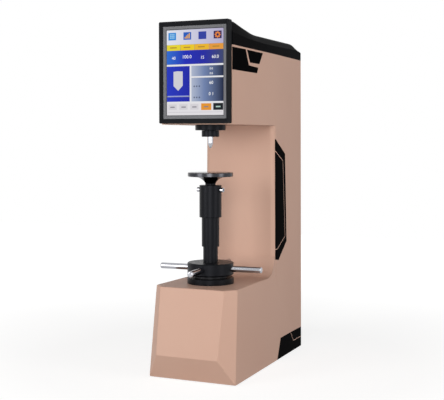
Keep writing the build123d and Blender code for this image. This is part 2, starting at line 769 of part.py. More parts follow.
def make_upper_sleeve():
    r, w = upper_sleeve_radius, upper_sleeve_wall
    body = rod(r, upper_sleeve_bottom_z, upper_sleeve_top_z)
    body = chamfer(body.edges().filter_by(GeomType.CIRCLE), 0.8)
    body -= rod(r - w, upper_sleeve_bottom_z - 1, cap_under_z)
    body -= rod(screw_head_radius, cap_under_z - 1, upper_sleeve_top_z - 1)
    body -= rod(anvil_stem_radius + 4, cap_under_z, upper_sleeve_top_z + 1)
    for s in (-1, 1):
        body -= cross_rod(m6, s * (screw_head_radius - 1), s * (r + 1), 0, sleeve_screw_z)
    return body


def make_sleeve_screws():
    end = upper_sleeve_radius + sleeve_screw_proud
    screw = cross_rod(m6, screw_head_radius - sleeve_screw_bite, upper_sleeve_radius, 0, sleeve_screw_z)
    knob = cross_rod(sleeve_screw_head_radius, upper_sleeve_radius, end, 0, sleeve_screw_z)
    knob = chamfer(knob.edges().filter_by(GeomType.CIRCLE), 0.7)
    socket = Pos(end - 3, 0, sleeve_screw_z) * Rot(0, 90, 0) * extrude(RegularPolygon(3, 6), 5)
    return Compound(both_sides(screw + knob - socket))


def make_middle_sleeve():
    r, z0 = middle_sleeve_radius, middle_sleeve_bottom_z
    body = rod(r, z0, z0 + middle_sleeve_length)
    body = chamfer(body.edges().sort_by(Axis.Z)[0], 0.6)
    lip = upper_sleeve_radius - upper_sleeve_wall - 2 * body_gap
    body += rod(lip, z0 + middle_sleeve_length - 3, z0 + middle_sleeve_length)
    body -= rod(r - sleeve_wall, z0 - 1, z0 + middle_sleeve_length + 1)
    return body + tube(r, lower_sleeve_radius + 2 * body_gap, z0, z0 + 3)


def make_lower_sleeve():
    r, inner = lower_sleeve_radius, screw_radius + 1.2
    z0 = nut_flange_z + nut_flange_thickness
    body = tube(nut_flange_radius - 0.2, inner, z0, hub_top_z)
    body += tube(r, inner, hub_top_z - 1, lower_sleeve_top_z)
    for hole in around(4, hub_screw(), 45):
        body -= hole
    return body


def hub_screw():
    """Flat-headed screw through the sleeve's foot and the nut's flange into the hub."""
    x = hub_screw_circle
    return rod(2.5, hub_top_z - 2, hub_top_z, x) + rod(1.5, hub_bottom_z + 6, hub_top_z - 1, x)


def make_lift_nut():
    r = screw_radius + 0.08
    body = tube(nut_radius, r, nut_bottom_z, nut_flange_z)
    body += tube(nut_flange_radius, r, nut_flange_z, nut_flange_z + nut_flange_thickness)
    for hole in around(4, hub_screw(), 45):
        body -= hole
    return body


def spoke():
    bar = cross_rod(spoke_radius, nut_flange_radius + spoke_root, spoke_reach, 0, spoke_z)
    return fillet(bar.edges().filter_by(GeomType.CIRCLE).sort_by(Axis.X)[-1], 3.0)


def make_hub():
    body = rod(hub_radius, hub_bottom_z, hub_top_z)
    rim = body.edges().filter_by(GeomType.CIRCLE).sort_by(Axis.Z)
    body = chamfer(rim[-1], 1.6)
    body = chamfer(body.edges().filter_by(GeomType.CIRCLE).sort_by(Axis.Z)[0], 3.0)
    body -= rod(nut_radius, hub_bottom_z - 1, hub_top_z + 1)
    body -= rod(nut_flange_radius, nut_flange_z, hub_top_z + 1)
    socket = cross_rod(spoke_radius, nut_flange_radius + spoke_root, hub_radius + 1, 0, spoke_z)
    for hole in around(spoke_count, socket, spoke_turn):
        body -= hole
    for hole in around(4, hub_screw(), 45):
        body -= hole
    return body


def make_spokes():
    return Compound(around(spoke_count, spoke(), spoke_turn))


def make_hub_screws():
    return Compound(around(4, hub_screw(), 45))


# ---------------------------------------------------------------- spindle, lever and drive
def make_nose_flange():
    body = rod(nose_radius, nose_flange_z, head_under_z)
    body = chamfer(body.edges().filter_by(GeomType.CIRCLE).sort_by(Axis.Z)[0], 1.0)
    body += rod(nose_spigot_radius, head_under_z - 1, nose_spigot_top_z)
    body -= rod(spindle_radius + spindle_bush_wall, nose_flange_z - 1, nose_spigot_top_z + 1)
    for hole in around(4, rod(m5, nose_flange_z + 3, head_under_z + 1, nose_screw_circle), 45):
        body -= hole
    return body


def make_nose_screws():
    screw = Pos(nose_screw_circle, 0, head_under_z + head_floor) * cap_screw(m5, m5_head, head_floor + 9, 5)
    return Compound(around(4, screw, 45))


def make_spindle_bushes():
    outer, inner = spindle_radius + spindle_bush_wall, spindle_radius + running_gap
    return Compound([tube(outer, inner, nose_flange_z + 1, nose_flange_z + 13),
                     tube(outer, inner, nose_spigot_top_z - 13, nose_spigot_top_z - 1)])


def make_spindle():
    head_top, top = nose_flange_z - 0.4, spindle_top_z
    body = rod(spindle_head_radius, spindle_head_bottom_z, head_top)
    body = chamfer(body.edges().filter_by(GeomType.CIRCLE).sort_by(Axis.Z)[0], 0.8)
    body += rod(spindle_radius, head_top - 1, top - 2)
    body += turned([(0, top), (6, top - 0.5), (8, top - 2), (0, top - 2)])
    body += rod(spindle_radius + 5, spindle_collar_z, spindle_collar_z + 6)
    body += block(0, sensor_x + 5, -6, 6, spindle_collar_z, spindle_collar_z + 6)
    body -= rod(indenter_shank_radius, spindle_head_bottom_z - 1, spindle_head_bottom_z + indenter_shank)
    body -= deep_rod(m4, 0, spindle_head_radius + 1, 0, spindle_head_bottom_z + 7)
    return body


def make_indenter():
    r, z = indenter_radius, spindle_head_bottom_z
    outline = [(0, indenter_tip_z + 2.0), (2.6, indenter_tip_z + 2.0), (3.4, indenter_tip_z + 3.2),
               (r, indenter_cone_z), (r, z), (indenter_shank_radius, z),
               (indenter_shank_radius, z + indenter_shank - 1), (0, z + indenter_shank - 1)]
    return turned(outline)


def make_diamond_tip():
    z = indenter_tip_z
    return turned([(0, z), (0.9, z + 0.6), (1.9, z + 2.0), (0, z + 2.0)])


def make_indenter_set_screw():
    y0, z = indenter_shank_radius, spindle_head_bottom_z + 7
    screw = deep_rod(m4, y0, spindle_head_radius - 0.4, 0, z)
    socket = Pos(0, spindle_head_radius, z) * Rot(90, 0, 0) * extrude(RegularPolygon(1.2, 6), 3)
    return screw - socket


def lever_outline():
    y, z, h = pivot_y, pivot_z, lever_end_half
    neck, tail, back = lever_rear_y - lever_end_length, lever_rear_y + lever_tail, z + lever_back_rise
    return [(y - 18, z + 14), (y - 18, z - 12), (y - 12, lever_bottom_z), (20, lever_bottom_z), (neck, z - h),
            (tail, z - h), (tail, z + h), (neck, z + h), (20, back), (y - 4, back)]


def make_lever():
    w = lever_width / 2
    body = side_slab(lever_outline(), -w, w)
    body -= cross_rod(pivot_bearing_radius, -w - 1, w + 1, pivot_y, pivot_z)
    slot = Pos(-w - 1, lever_rear_y, pivot_z) * Rot(0, 90, 0) * Rot(0, 0, 90)
    body -= slot * extrude(SlotOverall(2 * rod_pin_radius + 3.0, 2 * rod_pin_radius + 0.8), lever_width + 2)
    for s in (-1, 1):
        pocket = side_slab([(34, pivot_z - 10), (34, pivot_z + 13), (lever_rear_y - 36, pivot_z + 4),
                            (lever_rear_y - 36, pivot_z - 6)], s * w - 7, s * w + 7)
        body -= pocket
    return body


def make_lever_bearings():
    w = lever_width / 2
    shell = cross_rod(pivot_bearing_radius, -w, -1.0, pivot_y, pivot_z)
    return Compound(both_sides(shell - cross_rod(pivot_radius + running_gap, -w - 1, 0, pivot_y, pivot_z)))


cheek_gap = 1.0
cheek = 9.0
bracket_foot = 8.0
bracket_half_width = 36.0
bracket_screw_x = 29.0
bracket_screw_inset = 8.0
bracket_front_y = head_front_y + wall + 1.0
bracket_rear_y = -nose_screw_circle * cos(radians(45)) - m5_head - 1.0
bracket_screw_spots = [(x, y) for x in (-bracket_screw_x, bracket_screw_x)
                       for y in (bracket_front_y + bracket_screw_inset, bracket_rear_y - bracket_screw_inset)]


def make_lever_bracket():
    floor = head_under_z + head_floor
    inner = lever_width / 2 + cheek_gap
    y0, y1 = bracket_front_y, bracket_rear_y
    foot = block(-bracket_half_width, bracket_half_width, y0, y1, floor, floor + bracket_foot)
    outline = [(y0 + 4, floor), (y1, floor), (y1, floor + 20), (pivot_y + 14, nose_spigot_top_z + 20),
               (pivot_y + 14, pivot_z + 13), (pivot_y - 14, pivot_z + 13), (y0 + 4, floor + 20)]
    cheeks = side_slab(outline, inner, inner + cheek)
    body = foot + cheeks + mirror(cheeks, Plane.YZ)
    body -= cross_rod(pivot_radius, -half, half, pivot_y, pivot_z)
    for x, y in bracket_screw_spots:
        body -= rod(m6, floor - 1, floor + bracket_foot + 1, x, y)
    return body


def make_bracket_screws():
    screw = rod(m6_head, bracket_foot, bracket_foot + 5) + rod(m6, 0, bracket_foot)
    return Compound([Pos(x, y, head_under_z + head_floor) * screw for x, y in bracket_screw_spots])


def make_lever_pivot():
    reach = lever_width / 2 + cheek_gap + cheek
    return cross_rod(pivot_radius, -reach, reach, pivot_y, pivot_z)


def make_pull_rod():
    top = load_cell_bottom_z + load_cell_height
    fork_z = pivot_z - 26
    inner, y = lever_width / 2 + cheek_gap, lever_rear_y
    body = rod(rod_radius, top - 10, fork_z + 4, 0, y)
    body += block(-inner - 7, inner + 7, y - 10, y + 10, fork_z, fork_z + 8)
    for s in (-1, 1):
        body += block(s * inner, s * (inner + 7), y - 10, y + 10, fork_z, pivot_z + 10)
    return body + cross_rod(rod_pin_radius, -inner - 9, inner + 9, y, pivot_z)


def make_load_cell():
    z, h, w, t = load_cell_bottom_z, load_cell_height, load_cell_width / 2, load_cell_thickness / 2
    y = lever_rear_y
    body = block(-w, w, y - t, y + t, z, z + h)
    body -= block(-w - 1, w - 10, y - t - 1, y + t + 1, z + 13, z + 16)
    body -= block(-w + 10, w + 1, y - t - 1, y + t + 1, z + h - 16, z + h - 13)
    body -= deep_rod(8, y - t - 1, y + t + 1, 0, z + h / 2)
    body -= rod(rod_radius, z + h - 10, z + h + 1, 0, y)
    return body - rod(6, z - 1, z + 10, 0, y)


def make_disc_springs():
    """Stack of coned washers that carries the load between the crosshead and the load cell."""
    pitch = (load_cell_bottom_z - stirrup_top_z) / disc_spring_count
    springs = []
    for i in range(disc_spring_count):
        z, t = stirrup_top_z + i * pitch, disc_spring_thickness
        inner, outer = (z + disc_spring_cone, z) if i % 2 == 0 else (z, z + disc_spring_cone)
        outline = [(disc_spring_bore, inner), (disc_spring_radius, outer), (disc_spring_radius, outer + t),
                   (disc_spring_bore, inner + t)]
        springs.append(Pos(0, lever_rear_y, 0) * turned(outline))
    return Compound(springs)


def make_crosshead():
    y, z, d, w = lever_rear_y, crosshead_z, crosshead_depth / 2, crosshead_width / 2
    top = z + crosshead_thickness
    a, b, leg = stirrup_half_width, stirrup_half_depth, stirrup_leg
    body = block(-w, w, y - d, y + d, z, top)
    for s in (-1, 1):
        body -= rod(guide_rod_radius + running_gap, z - 1, top + 1, s * guide_rod_spacing / 2, y)
        body += block(s * (a - leg), s * a, y - b, y + b, top - 1, stirrup_top_z)
    body += block(-a, a, y - b, y + b, stirrup_bottom_z, stirrup_top_z)
    body += rod(6, stirrup_bottom_z, load_cell_bottom_z + 10, 0, y)
    return body - rod(drive_screw_radius + running_gap, z - 1, top + 2, 0, y)


def make_drive_screw():
    z0 = drive_plate_z - 19
    return rod(drive_screw_radius, z0, drive_screw_top_z, 0, lever_rear_y)


def make_screw_bearing():
    z = drive_plate_z
    return tube(drive_bearing_radius, drive_screw_radius + 0.03, z + 6, z + 20, 0, lever_rear_y)


def make_guide_rods():
    x = -guide_rod_spacing / 2
    return Compound(both_sides(rod(guide_rod_radius, drive_plate_z, guide_rod_top_z, x, lever_rear_y)))


motor_top_z = drive_plate_z - motor_post_length


def make_drive_bracket():
    y, z, t = lever_rear_y, drive_plate_z, drive_plate_thickness
    body = block(-half, half, y - 32, y + 32, z, z + t) & column_form(wall)
    body -= rod(drive_bearing_radius, z + 6, z + t + 1, 0, y)
    body -= rod(drive_screw_radius + 2, z - 1, z + 7, 0, y)
    for s in (-1, 1):
        body -= rod(guide_rod_radius, z - 1, z + t + 1, s * guide_rod_spacing / 2, y)
    a = motor_post_spacing / 2
    for dx, dy in ((-a, -a), (-a, a), (a, -a), (a, a)):
        body += rod(motor_post_radius, motor_top_z, z + 1, dx, y + dy)
    return body


def make_drive_motor():
    y, z, a = lever_rear_y, motor_top_z, motor_size / 2
    body = block(-a, a, y - a, y + a, z - motor_height, z)
    body = fillet(body.edges().filter_by(Axis.Z), 4)
    body += rod(19, z, z + 2, 0, y)
    body -= rod(rotor_radius + air_gap, z - rotor_depth - rotor_length - 2, z - rotor_depth + 2, 0, y)
    return body - rod(motor_shaft_radius + running_gap, z - motor_height + 4, z + 3, 0, y)


def make_motor_shaft():
    """Shaft with the rotor on it."""
    z, y = motor_top_z, lever_rear_y
    shaft = rod(motor_shaft_radius, z - motor_height + 6, z + 14, 0, y)
    return shaft + rod(rotor_radius, z - rotor_depth - rotor_length, z - rotor_depth, 0, y)


def make_motor_coupling():
    z0, z1 = motor_top_z + 4, drive_plate_z - 3
    body = rod(coupling_radius, z0, z1, 0, lever_rear_y)
    body -= rod(motor_shaft_radius, z0 - 1, motor_top_z + 14, 0, lever_rear_y)
    return body - rod(drive_screw_radius, drive_plate_z - 19, z1 + 1, 0, lever_rear_y)


def make_displacement_sensor():
    floor = head_under_z + head_floor
    body = rod(9, floor, floor + 4, sensor_x, 0) + rod(5, floor, spindle_collar_z - 6, sensor_x, 0)
    return body + rod(1.5, spindle_collar_z - 7, spindle_collar_z - 2.2, sensor_x, 0)


# ---------------------------------------------------------------- electrics
def make_control_board():
    y0, y1, z0, z1 = board_front_y, board_rear_y, board_bottom_z, board_top_z
    x0 = board_offset + wall - column_half_width((y0 + y1) / 2, (z0 + z1) / 2)
    board = block(x0, x0 + board_thickness, y0, y1, z0, z1)
    face = x0 + board_thickness - 0.1
    board += block(face, x0 + 12, y0 + 10, y0 + 50, z0 + 20, z0 + 80)
    board += block(face, x0 + 8, y1 - 63, y1 - 25, z1 - 50, z1 - 20)
    board += block(face, x0 + 11, y1 - 25, y1 - 9, z0 + 20, z0 + 80)
    for y in (y0 + board_post_inset, y1 - board_post_inset):
        for z in (z0 + board_post_inset, z1 - board_post_inset):
            board += cross_rod(3, -half, x0 + 1, y, z) & column_form(wall)
    return board


def make_power_supply():
    """Closed sheet-metal box on the base plate, with a row of vents in its side."""
    w, y, z, pitch = supply_width / 2, supply_front_y, plate_top_z, supply_vent_pitch
    body = block(-w, w, y, y + supply_depth, z, z + supply_height)
    for i in range(1, supply_vent_count + 1):
        body -= block(-w - 1, 2 - w, y + pitch * i, y + pitch * (i + 0.5), z + 8, z + supply_height - 8)
    return body


def make_power_inlet():
    z, f = connector_z, connector_flange
    body = block(inlet_x - 24, inlet_x + 24, rear_y, rear_y + f, z - 14, z + 14)
    body = fillet(body.edges().filter_by(Axis.Y), 4)
    body += block(inlet_x - 13.8, inlet_x + 13.8, rear_y - 24, rear_y + f, z - 10.3, z + 10.3)
    body -= block(inlet_x - 12, inlet_x + 12, rear_y - 16, rear_y + f + 1, z - 8, z + 8)
    for dx, dz in ((-7, -1), (0, 3), (7, -1)):
        body += block(inlet_x + dx - 1, inlet_x + dx + 1, rear_y - 17, rear_y - 2, z + dz - 2, z + dz + 2)
    return body


def make_power_switch():
    z, f = connector_z, connector_flange
    body = block(switch_x - 12, switch_x + 12, rear_y, rear_y + f, z - 16, z + 16)
    body += block(switch_x - 9.3, switch_x + 9.3, rear_y - 20, rear_y + f, z - 12.8, z + 12.8)
    body -= block(switch_x - 7.6, switch_x + 7.6, rear_y - 12, rear_y + f + 1, z - 11.2, z + 11.2)
    return body - rocker_pin(running_gap)


def rocker_pin(gap=0.0):
    """Pin on which the rocker tilts in the switch's side walls."""
    reach = rocker_half_width + 1.4 + 2 * gap
    return cross_rod(rocker_pin_radius + gap, switch_x - reach, switch_x + reach, rocker_pivot_y, connector_z)


def make_power_rocker():
    """Roof-shaped rocker, lying on its off side."""
    y, d, h = rocker_pivot_y, rocker_depth, rocker_half_height
    outline = [(y - 5, -h + 0.2), (y + d, -h), (y + d - 0.9, 0), (y + d, h), (y - 5, h - 0.2)]
    body = side_slab([(y, connector_z + z) for y, z in outline], switch_x - rocker_half_width,
                     switch_x + rocker_half_width)
    body += rocker_pin()
    return body.rotate(Axis((0, rocker_pivot_y, connector_z), (1, 0, 0)), rocker_tilt)


def make_data_ports():
    z, f = connector_z, connector_flange
    body = block(ports_x - 18, ports_x + 18, rear_y, rear_y + 1, z - 11, z + 11)
    body += block(ports_x - 15.8, ports_x + 15.8, rear_y - 18, rear_y + f, z - 8.8, z + 8.8)
    for dx in (-7.8, 7.8):
        body -= block(ports_x + dx - 6.3, ports_x + dx + 6.3, rear_y - 12, rear_y + f + 1, z - 3, z + 3)
        body += block(ports_x + dx - 5.5, ports_x + dx + 5.5, rear_y - 13, rear_y + 1, z - 0.2, z + 1.6)
    return body


# ---------------------------------------------------------------- assembly
def build():
    inlays = make_inlays()
    parts["housing"] = make_housing(inlays)
    parts["head_inlays"], parts["column_inlays"], parts["base_inlays"] = inlays
    parts["top_cover"] = make_top_cover()
    parts["rear_cover"] = make_rear_cover()
    parts["rear_panel_screws"] = make_rear_screws()
    parts["base_plate"] = make_base_plate()
    parts["base_plate_screws"] = make_plate_screws()
    parts["rubber_feet"] = make_feet()
    parts["foot_screws"] = make_foot_screws()
    parts["display_housing"] = make_display_housing()
    parts["display_bezel"] = make_display_bezel()
    parts["touch_glass"] = make_touch_glass()
    parts["lcd_panel"] = make_lcd_panel()
    parts["control_board"] = make_control_board()
    parts["power_supply"] = make_power_supply()
    parts["power_inlet"] = make_power_inlet()
    parts["power_switch_body"] = make_power_switch()
    parts["power_rocker"] = make_power_rocker()
    parts["data_ports"] = make_data_ports()
    parts["nose_flange"] = make_nose_flange()
    parts["nose_screws"] = make_nose_screws()
    parts["spindle_bushes"] = make_spindle_bushes()
    parts["spindle"] = make_spindle()
    parts["indenter"] = make_indenter()
    parts["diamond_tip"] = make_diamond_tip()
    parts["indenter_set_screw"] = make_indenter_set_screw()
    parts["lever_bracket"] = make_lever_bracket()
    parts["lever_bracket_screws"] = make_bracket_screws()
    parts["lever_pivot"] = make_lever_pivot()
    parts["lever_bearings"] = make_lever_bearings()
    parts["lever"] = make_lever()
    parts["pull_rod"] = make_pull_rod()
    parts["load_cell"] = make_load_cell()
    parts["disc_springs"] = make_disc_springs()
    parts["crosshead"] = make_crosshead()
    parts["drive_screw"] = make_drive_screw()
    parts["drive_screw_bearing"] = make_screw_bearing()
    parts["guide_rods"] = make_guide_rods()
    parts["drive_bracket"] = make_drive_bracket()
    parts["drive_motor"] = make_drive_motor()
    parts["motor_shaft"] = make_motor_shaft()
    parts["motor_coupling"] = make_motor_coupling()
    parts["displacement_sensor"] = make_displacement_sensor()
    parts["base_ring"] = make_base_ring()
    parts["base_ring_screws"] = make_ring_screws()
    parts["thrust_bearing"] = make_thrust_bearing()
    parts["guide_bush"] = make_guide_bush()
    parts["guide_key"] = make_guide_key()
    parts["elevating_screw"] = make_elevating_screw()
    parts["anvil"] = make_anvil()
    parts["upper_sleeve"] = make_upper_sleeve()
    parts["sleeve_screws"] = make_sleeve_screws()
    parts["middle_sleeve"] = make_middle_sleeve()
    parts["lower_sleeve"] = make_lower_sleeve()
    parts["handwheel_hub"] = make_hub()
    parts["handwheel_spokes"] = make_spokes()
    parts["hub_screws"] = make_hub_screws()
    parts["lift_nut"] = make_lift_nut()


build()
os.makedirs("parts", exist_ok=True)
for name, part in parts.items():
    export_step(Pos(0, origin_shift, 0) * part, f"parts/{name}.step")
print("parts", len(parts), "origin shift", round(origin_shift, 3))
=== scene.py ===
# %% [markdown]
# # Bench hardness tester: the looks
# A hardness tester presses a diamond into a metal specimen. This one is a heavy C-shaped casting with a
# screw lift in its throat and a touch display on its head. The CAD model holds every size, so this lesson
# only dresses it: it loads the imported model, gives each piece its finish, adds what is too thin for CAD
# and lights the result. Starting from the CAD frame means that nothing has to be placed by eye.

# %% Load the frame
import math

import bmesh
import bpy
from mathutils import Matrix, Vector


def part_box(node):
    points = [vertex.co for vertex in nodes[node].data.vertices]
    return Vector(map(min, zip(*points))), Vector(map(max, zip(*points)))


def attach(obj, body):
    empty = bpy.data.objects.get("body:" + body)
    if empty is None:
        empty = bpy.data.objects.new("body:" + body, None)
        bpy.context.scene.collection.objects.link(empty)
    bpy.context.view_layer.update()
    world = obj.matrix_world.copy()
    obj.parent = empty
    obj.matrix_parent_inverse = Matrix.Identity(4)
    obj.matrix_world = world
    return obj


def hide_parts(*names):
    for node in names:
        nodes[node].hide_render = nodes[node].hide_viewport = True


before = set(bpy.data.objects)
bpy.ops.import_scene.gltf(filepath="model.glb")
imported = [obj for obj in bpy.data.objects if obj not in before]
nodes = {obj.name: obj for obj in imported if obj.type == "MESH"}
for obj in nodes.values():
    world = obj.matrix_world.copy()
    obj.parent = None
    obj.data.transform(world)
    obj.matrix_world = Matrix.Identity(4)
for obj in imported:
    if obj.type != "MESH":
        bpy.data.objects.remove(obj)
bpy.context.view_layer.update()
MM = 0.001

# %% [markdown]
# ## Helpers
# Finishes are easier to read as the hex values that a paint chart prints. Blender's shaders want linear
# light, so one function turns the first into the second. A second one adds a shader node together with
# its settings, values and links, which keeps each finish below down to a few lines.

# %% Colours and shader nodes
def linear(code, alpha=1.0):
    """sRGB hex code to a linear RGBA colour."""
    parts = [int(code[i:i + 2], 16) / 255 for i in (1, 3, 5)]
    return tuple(c / 12.92 if c <= 0.04045 else ((c + 0.055) / 1.055) ** 2.4 for c in parts) + (alpha,)


def add(tree, kind, settings=(), values=(), links=()):
    """Add a node; settings are its properties, values its sockets' numbers, links what feeds its sockets."""
    made = tree.nodes.new(kind)
    for key, value in dict(settings).items():
        setattr(made, key, value)
    for key, value in dict(values).items():
        made.inputs[key].default_value = value
    for key, source in dict(links).items():
        tree.links.new(source, made.inputs[key])
    return made


def seen_directly(tree):
    """1 for what the camera sees, also in metal and through glass, and 0 for light that falls on things."""
    ray = add(tree, "ShaderNodeLightPath")
    shown = add(tree, "ShaderNodeMath", {"operation": "MAXIMUM"},
                links={0: ray.outputs["Is Camera Ray"], 1: ray.outputs["Is Glossy Ray"]})
    total = add(tree, "ShaderNodeMath", {"operation": "MAXIMUM"},
                links={0: shown.outputs[0], 1: ray.outputs["Is Transmission Ray"]})
    return total.outputs[0]


print("white is", linear("#FFFFFF"))

# %% [markdown]
# ## Camera
# The tester is looked at from its right front, a little above the lift. A long lens from 2.3 m keeps the
# upright edges nearly parallel, as a studio picture of a tall machine has them. The camera could be aimed
# by hand, but a direction worked out from two angles is exact and easy to change.

# %% Camera
CAMERA_AT = Vector((0.9465, -2.1321, 0.5354))
CAMERA_YAW = math.radians(24.487)
CAMERA_PITCH = math.radians(3.566)
LENS_MM = 79.48
SENSOR_MM = 36.0

ahead = Vector((-math.sin(CAMERA_YAW) * math.cos(CAMERA_PITCH),
                math.cos(CAMERA_YAW) * math.cos(CAMERA_PITCH), -math.sin(CAMERA_PITCH)))
lens = bpy.data.cameras.new("camera")
lens.lens, lens.sensor_width, lens.sensor_fit = LENS_MM, SENSOR_MM, "HORIZONTAL"
camera = bpy.data.objects.new("camera", lens)
camera.location = CAMERA_AT
camera.rotation_euler = ahead.to_track_quat("-Z", "Y").to_euler()
bpy.context.scene.collection.objects.link(camera)
bpy.context.scene.camera = camera
bpy.context.scene.view_settings.view_transform = "Standard"
print("camera looks along", [round(x, 3) for x in ahead])

# %% [markdown]
# ## Studio
# A painted casting wants large soft lights: one from the front left, one from beside the camera and a weaker
# one from the right. The front facet is then the brightest face, and the flank stays readable. The sky is
# darker overhead than around, so that the top of the base lies in the shade of the head. One hard lamp
# would be simpler, but paint with a low gloss shows its form in broad, slow gradients. The floor and the
# backdrop are white to the camera, in metal and through glass, and light the object only a little.

# %% World
SKY_SIDES = 0.55                # strength of the light from around
SKY_TOP = 0.08                  # and from overhead
SIDES_END, TOP_STARTS = 0.15, 0.75      # upward part of a direction, between which one turns into the other

world = bpy.data.worlds.new("studio")
bpy.context.scene.world = world
world.use_nodes = True
tree = world.node_tree
tree.nodes.clear()
seen = seen_directly(tree)
where = add(tree, "ShaderNodeTexCoord")
height = add(tree, "ShaderNodeSeparateXYZ", links={0: where.outputs["Generated"]})
glow = add(tree, "ShaderNodeMapRange",
           values={"From Min": SIDES_END, "From Max": TOP_STARTS, "To Min": SKY_SIDES, "To Max": SKY_TOP},
           links={"Value": height.outputs["Z"]})
light = add(tree, "ShaderNodeBackground", links={"Strength": glow.outputs[0]})
white = add(tree, "ShaderNodeBackground", values={"Color": (1, 1, 1, 1), "Strength": 1.0})
both = add(tree, "ShaderNodeMixShader", links={0: seen, 1: light.outputs[0], 2: white.outputs[0]})
add(tree, "ShaderNodeOutputWorld", links={"Surface": both.outputs[0]})
print("world from", SKY_TOP, "to", SKY_SIDES)

# %% Lamps
LAMPS = {                       # place, width, height, watts, tint
    "key": ((-1.3, -2.35, 0.85), 1.1, 1.5, 27.0, "#FFFDFA"),
    "front": ((0.9, -2.6, 0.80), 1.0, 1.5, 32.0, "#FFFDFA"),
    "fill": ((2.4, -0.5, 0.75), 0.9, 1.6, 18.0, "#FFFAF6"),
}
AIM = Vector((0.0, 0.0, 0.40))

for name, (place, width, tall, watts, tint) in LAMPS.items():
    lamp = bpy.data.lights.new(name, "AREA")
    lamp.shape, lamp.size, lamp.size_y, lamp.energy = "RECTANGLE", width, tall, watts
    lamp.color = linear(tint)[:3]
    holder = bpy.data.objects.new(name, lamp)
    holder.location = place
    holder.rotation_euler = (AIM - Vector(place)).to_track_quat("-Z", "Y").to_euler()
    bpy.context.scene.collection.objects.link(holder)
print("lamps", list(LAMPS))

# %% Floor
FLOOR_REACH = 3.0               # metres each way
NEAR, FAR = 0.45, 1.5           # the paper brightens to plain white between these distances in metres
NEAR_GLOW, FAR_GLOW = 0.80, 1.0

plate = bpy.data.meshes.new("floor")
r = FLOOR_REACH
plate.from_pydata([(-r, -r, 0), (r, -r, 0), (r, r, 0), (-r, r, 0)], [], [(0, 1, 2, 3)])
floor = bpy.data.objects.new("floor", plate)
bpy.context.scene.collection.objects.link(floor)
paper = bpy.data.materials.new("matt_white_paper")
paper.use_nodes = True
tree = paper.node_tree
tree.nodes.clear()
seen = seen_directly(tree)
matt = add(tree, "ShaderNodeBsdfDiffuse", values={"Color": linear("#A0A0A0")})
at = add(tree, "ShaderNodeTexCoord")
away = add(tree, "ShaderNodeVectorMath", {"operation": "LENGTH"}, links={0: at.outputs["Object"]})
fade = add(tree, "ShaderNodeMapRange",
           values={"From Min": NEAR, "From Max": FAR, "To Min": NEAR_GLOW, "To Max": FAR_GLOW},
           links={"Value": away.outputs["Value"]})
lift = add(tree, "ShaderNodeEmission", values={"Color": (1, 1, 1, 1)}, links={"Strength": fade.outputs[0]})
shown = add(tree, "ShaderNodeMixShader", links={0: seen, 2: lift.outputs[0]})
total = add(tree, "ShaderNodeAddShader", links={0: matt.outputs[0], 1: shown.outputs[0]})
add(tree, "ShaderNodeOutputMaterial", links={"Surface": total.outputs[0]})
floor.data.materials.append(paper)
print("floor", 2 * FLOOR_REACH, "m wide")

# %% [markdown]
# ## How a finish is built
# Real surfaces are never one flat value. Paint has orange peel, ground steel has fine lines, moulded
# plastic has a spark-eroded grain. They share one recipe: a noise at the real size of the grain drives a
# slight change of colour and of roughness and a bump, on Object coordinates, so that the grain doesn't
# stretch from piece to piece. Images could do the same, but noise has no seams and no fixed resolution.

# %% The recipe for a finish
NOISE_LOW, NOISE_HIGH = 0.3, 0.7        # nearly all of Blender's noise lies between these values


def finish(name, colour, second, roughness, spread, grain_mm, relief_mm, metallic=0.0, stretch=(1, 1, 1),
           cloud_mm=60.0, sockets=()):
    """Grain of a real size gives the bump and the roughness; a wide cloud mixes the two colours."""
    material = bpy.data.materials.new(name)
    material.use_nodes = True
    tree = material.node_tree
    tree.nodes.clear()
    at = add(tree, "ShaderNodeTexCoord")
    drawn = add(tree, "ShaderNodeMapping", values={"Scale": stretch}, links={"Vector": at.outputs["Object"]})
    grain = add(tree, "ShaderNodeTexNoise", values={"Scale": 1 / (grain_mm * MM), "Detail": 3.0},
                links={"Vector": drawn.outputs[0]})
    cloud = add(tree, "ShaderNodeTexNoise", values={"Scale": 1 / (cloud_mm * MM), "Detail": 2.0},
                links={"Vector": at.outputs["Object"]})
    tone = add(tree, "ShaderNodeMix", {"data_type": "RGBA"},
               {"A": linear(colour), "B": linear(second)}, {"Factor": cloud.outputs["Fac"]})
    rough = add(tree, "ShaderNodeMapRange",
                values={"From Min": NOISE_LOW, "From Max": NOISE_HIGH,
                        "To Min": roughness - spread, "To Max": roughness + spread},
                links={"Value": grain.outputs["Fac"]})
    bump = add(tree, "ShaderNodeBump", values={"Strength": 1.0, "Distance": relief_mm * MM},
               links={"Height": grain.outputs["Fac"]})
    shader = add(tree, "ShaderNodeBsdfPrincipled", values={"Metallic": metallic, **dict(sockets)},
                 links={"Base Color": tone.outputs["Result"], "Roughness": rough.outputs[0],
                        "Normal": bump.outputs[0]})
    add(tree, "ShaderNodeOutputMaterial", links={"Surface": shader.outputs[0]})
    return material


def dress(material, *names):
    """Give CAD nodes their finish."""
    for name in names:
        slots = nodes[name].data.materials
        slots.clear()
        slots.append(material)
    print(material.name, "on", len(names), "nodes")


# %% [markdown]
# ## Powder coat on the casting
# The housing is cast iron under a champagne polyester powder coat. Powder flows out as it bakes and leaves
# a shallow orange peel of about 2 mm, with a low satin gloss. The second colour is a slightly darker shade
# of the first, because no large painted panel is the same all over.

# %% Powder coat
powder_coat = finish("champagne_powder_coat", "#D3AF9D", "#CFA896", 0.48, 0.03, 2.2, 0.010, cloud_mm=140.0,
                     sockets={"Specular IOR Level": 0.14})
dress(powder_coat, "housing")

